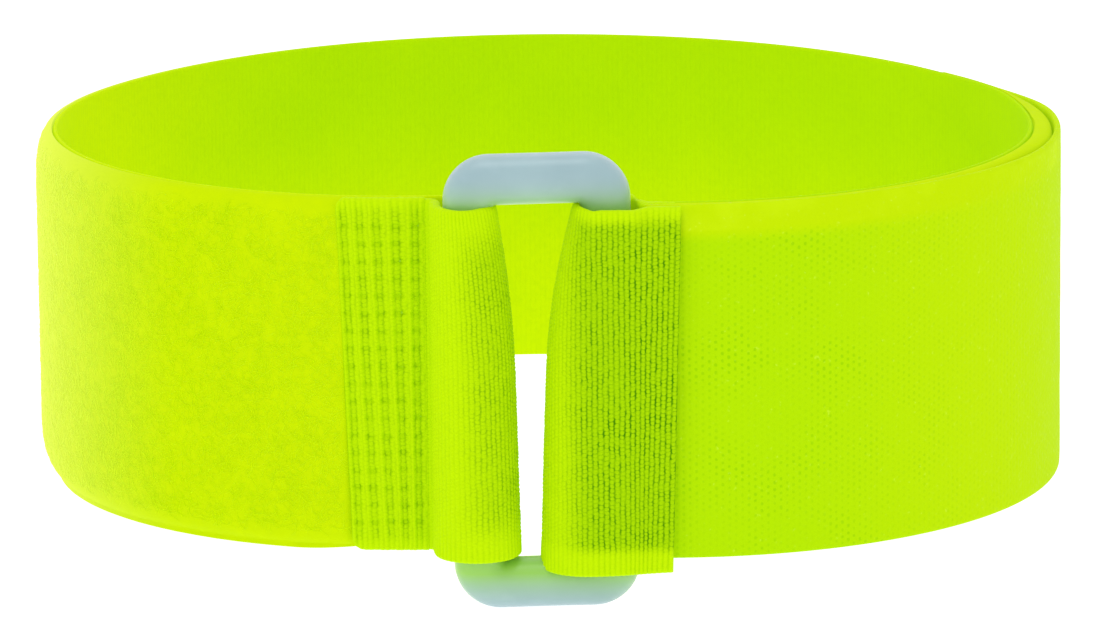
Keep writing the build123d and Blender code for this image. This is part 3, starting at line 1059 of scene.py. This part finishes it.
def hooks(name, span):
    """Rows of small curled hooks on a length of tape."""
    draw = np.random.default_rng(SEED + 40)
    profile = np.array([(-0.05, 0.0), (0.42, 0.0), (0.68, 0.07), (0.82, 0.24), (0.8, 0.42), (0.62, 0.5)])
    tangent = np.gradient(profile, axis=0)
    tangent /= np.linalg.norm(tangent, axis=1)[:, None]
    thickness = np.linspace(0.11, 0.055, len(profile))
    sides = 5
    around = circle(sides)
    in_plane, sideways = np.cos(around)[None, :], np.sin(around)[None, :]
    out = profile[:, :1] - thickness[:, None] * in_plane * tangent[:, 1:]
    over = profile[:, 1:] + thickness[:, None] * in_plane * tangent[:, :1]
    aside = thickness[:, None] * sideways * np.ones_like(out)
    rows = steps(-HALF_WIDTH + HOOK_MARGIN, HALF_WIDTH - HOOK_MARGIN - 0.6, HOOK_PITCH[1])

    def jitter():
        return draw.uniform(-HOOK_JITTER, HOOK_JITTER)

    places = [
        (along + jitter(), up + jitter(), draw.choice((-1, 1)))
        for column, along in enumerate(steps(span[0] + 0.5, span[1] - 0.5, HOOK_PITCH[0]))
        for up in rows + 0.5 * (column % 2)
    ]
    along, up, facing = [np.array(values)[:, None, None] for values in zip(*places)]
    x, y = TAPE_BACK.at(along + facing * over, TAPE + out)
    z = up + facing * aside
    shapes = np.stack([x, y, z], axis=-1).reshape(len(places), -1, 3)
    vertices, faces = many(shapes, tube_faces(len(profile), sides), len(places))
    piece = make_piece(name, vertices, faces, smooth_angle=180.0)
    dress(piece, HOOK_LOOK)
    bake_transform(piece)
    return piece


def hook_tape():
    """The tape in two lengths, split between its side and its tip, each with its rows of hooks."""
    stations = TAPE_BACK.stations
    middle = (stations["side"] + stations["tip"]) / 2
    lengths = {
        "front": ((0.0, middle), "tail_front", "tail_side", FRONT_END_ANGLE, (True, False)),
        "tip": ((middle, stations["end"]), "tail_side", "tail_tip", SIDE_END_ANGLE, (False, True)),
    }
    stands_for = {
        "front": (["hook_tape_front", "hook_tape_side"], ["hooks_front", "hooks_side"]),
        "tip": (["hook_tape_tip"], ["hooks_tip"]),
    }
    for name, (span, body_a, body_b, angle, cut) in lengths.items():
        piece = tape(
            f"hook_tape_{name}_cloth", TAPE_BACK, span, step=FLOAT[0] / 5, near=(tape_back, 0.13),
            far=(tape_front, 3.0), edges=(level(-HALF_WIDTH), tape_top), cut=cut, shade=tape_shade,
        )
        dress(piece, TAPE_LOOK, nodes=stands_for[name][0])
        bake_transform(piece)
        hook_span = (max(span[0], stations["curve"]), span[1])
        field = hooks(f"hook_rows_{name}", hook_span)
        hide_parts(*stands_for[name][1])


# ---------------- welds


def weld_spots(name, profile, places, outward, stretch=1.0):
    """A small turned shape at each place, drawn out sideways: profile holds (radius, height)."""
    sides = 12
    around = circle(sides)
    radius, height = [np.array(values)[:, None] for values in zip(*profile)]
    right, up = stretch * radius * np.cos(around), radius * np.sin(around) / stretch
    tall = height * np.ones_like(right)
    shapes = []
    for (x, y, z), angle in zip(places, outward):
        out_x, out_y = cos(radians(angle)), sin(radians(angle))
        place_x = x + tall * out_x - right * out_y
        place_y = y + tall * out_y + right * out_x
        shapes.append(np.stack([place_x, place_y, z + up], axis=-1))
    shapes = np.array(shapes).reshape(len(places), -1, 3)
    vertices, faces = many(shapes, tube_faces(len(profile), sides), len(places))
    piece = make_piece(name, vertices, faces)
    dress(piece, WELD_LOOK)
    return piece


def centred(count, pitch):
    """Heights of count rows, centred on 0."""
    return [(row - (count - 1) / 2) * pitch for row in range(count)]


def anchor_weld():
    """The fused spot at the bottom of each pit in the fold, down to the band's ground."""
    deep = FOLDED + PRESSED_PILE - 0.05
    profile = [(0.22, -deep), (0.28, -0.45), (0.3, -0.29), (0.22, -0.26), (0.12, -0.25), (0.03, -0.25)]
    places, outward = [], []
    for column in range(WELD_COLUMNS):
        distance = WELD_START + column * WELD_COLUMN_PITCH
        x, y = STRAP.at(distance)
        past = min(distance - STRAP.stations["arc"], 0.0)
        for z in centred(WELD_ROWS, WELD_ROW_PITCH):
            places.append((float(x + fold_slant(x, z)), float(y), z))
            outward.append(FRONT_ANGLE + degrees(past / FOLD_RADIUS))
    piece = weld_spots("anchor_weld_spots", profile, places, outward, stretch=1.35)
    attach(piece, "band")
    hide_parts("anchor_weld")


def tab_weld():
    """The fused pins that hold the tab to the hook tape."""
    head = [(0.3, -TAPE - 0.1), (0.42, -TAPE - 0.07), (0.4, -TAPE)]
    profile = head + [(0.34, -TAPE + 0.05), (0.34, 0.0), (0.1, 0.04)]
    y = RIGHT_FRONT_Y - TAPE_OFFSET
    places = [(x, y, z) for x in TAB_SPOT_COLUMNS for z in centred(TAB_SPOT_ROWS, TAB_SPOT_PITCH)]
    outward = [FRONT_ANGLE] * len(places)
    piece = weld_spots("tab_weld_spots", profile, places, outward)
    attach(piece, "tail_front")
    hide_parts("tab_weld")


# ---------------- ring


def ring_outer_reach(right, up):
    """Distance from a corner's centre to the ring's outline, in the direction of a place on the bar."""
    reach = RING_CORNER + BAR_RADIUS
    shift = reach - RING_OUTER_CORNER
    angle = np.arctan2(np.maximum(up, 0), np.maximum(right, 0))
    angle = np.where((right > 0) & (up > 0), np.minimum(angle, pi / 2 - angle), 0.0)
    straight = reach / np.cos(angle)
    across = shift * (np.cos(angle) - np.sin(angle))
    curved = shift * (np.cos(angle) + np.sin(angle)) + np.sqrt(RING_OUTER_CORNER**2 - across**2)
    return np.where(np.tan(angle) <= shift / reach, straight, curved)


def ring():
    """The moulded ring: a softly squared bar bent into an upright rectangle, leaning to the left."""
    half_width = RING_WIDTH / 2 - BAR_RADIUS + RING_SPREAD
    half_height = RING_HEIGHT / 2 - BAR_RADIUS + RING_SAG
    outline = Route((-half_width + RING_CORNER, -half_height), 0.0)
    for side in (half_width, half_height, half_width, half_height):
        outline.run(2 * (side - RING_CORNER)).arc(RING_CORNER, 90.0)
    around = circle(72)[None, :]
    along = np.linspace(0, outline.length, 480, endpoint=False)[:, None]
    power = np.abs(np.cos(around)) ** RING_SQUARENESS + np.abs(np.sin(around)) ** RING_SQUARENESS
    squared = power ** (-1 / RING_SQUARENESS)
    depth = RING_DEPTH * BAR_RADIUS * squared * np.sin(around)
    seam = 0.02 * np.exp(-((depth / 0.09) ** 2))
    wear = 0.008 * lumps(along, 4 * around, 3.0, SEED + 10)
    across = (BAR_RADIUS * squared + seam + wear) * np.cos(around)
    x, z = outline.at(along)
    outer = ring_outer_reach(np.abs(x) - half_width + RING_CORNER, np.abs(z) - half_height + RING_CORNER)
    across = np.where(across < 0, across * (outer - RING_CORNER) / BAR_RADIUS, across)
    x, z = outline.at(along, across)
    centre_x = LEFT_BAR_X - BAR_RADIUS + RING_WIDTH / 2 + RING_SPREAD
    y = np.broadcast_to(RING_Y + depth, x.shape)
    vertices = np.stack([centre_x + x - RING_TILT * z, y, z - RING_SAG + RING_TILT * x], axis=-1)
    vertices = vertices.reshape(-1, 3)
    faces = tube_faces(*x.shape, closed=True)
    piece = make_piece("ring_body", vertices, faces, smooth_angle=80.0)
    dress(piece, RING_LOOK, "ring", ["buckle_ring"])


# ---------------- floor, light and camera


def floor():
    """A plain pale floor at the ring's foot."""
    low = CAD_BOX[0][2] / MM - 2 * RING_SAG - RING_TILT * (RING_WIDTH / 2 - BAR_RADIUS)
    span = 3000.0
    vertices = [(-span, -span, low), (span, -span, low), (span, span, low), (-span, span, low)]
    piece = make_piece("floor", vertices, [[0, 1, 2, 3]])
    paint = Nodes("floor").finish(
        Base_Color=(0.5, 0.5, 0.5, 1.0),
        Roughness=0.9,
        Specular_IOR_Level=0.0,
        Emission_Color=(1.0, 1.0, 1.0, 1.0),
        Emission_Strength=0.85,
    )
    piece.data.materials.append(paint)


def lights():
    """White surroundings and one large soft lamp above, which faces the band."""
    world = bpy.data.worlds.new("studio")
    world.use_nodes = True
    background = world.node_tree.nodes["Background"]
    background.inputs["Color"].default_value = (1.0, 1.0, 1.0, 1.0)
    background.inputs["Strength"].default_value = 1.0
    bpy.context.scene.world = world
    data = bpy.data.lights.new("key", "AREA")
    data.shape = "SQUARE"
    data.size = 0.35
    data.energy = 0.8
    place = Vector((-0.1, -0.12, 0.6))
    lamp = put("key", data)
    lamp.location = place
    lamp.rotation_euler = (-place).to_track_quat("-Z", "Y").to_euler()


def camera():
    """The view from the front, a little above, with a long lens."""
    elevation, distance, lens = radians(13.2), 620.0, 280.0
    aim = Vector((0.15, -5.0, -1.45))
    roll = -0.010
    data = bpy.data.cameras.new("camera")
    data.lens = lens
    data.sensor_width = 36.0
    data.clip_end = 100.0
    place = aim + distance * Vector((0.0, -cos(elevation), sin(elevation)))
    turn = Matrix.Rotation(radians(90) - elevation, 4, "X") @ Matrix.Rotation(roll, 4, "Z")
    viewer = put("camera", data)
    viewer.matrix_world = Matrix.Translation(place * MM) @ turn
    bpy.context.scene.camera = viewer
    bpy.context.scene.view_settings.view_transform = "Standard"


strap_ground()
pile_skin()
all_fibres()
anchor_fold()
anchor_wrap()
anchor_weld()
cinch_back()
strap_tab()
hook_tape()
tab_weld()
ring()
floor()
lights()
camera()
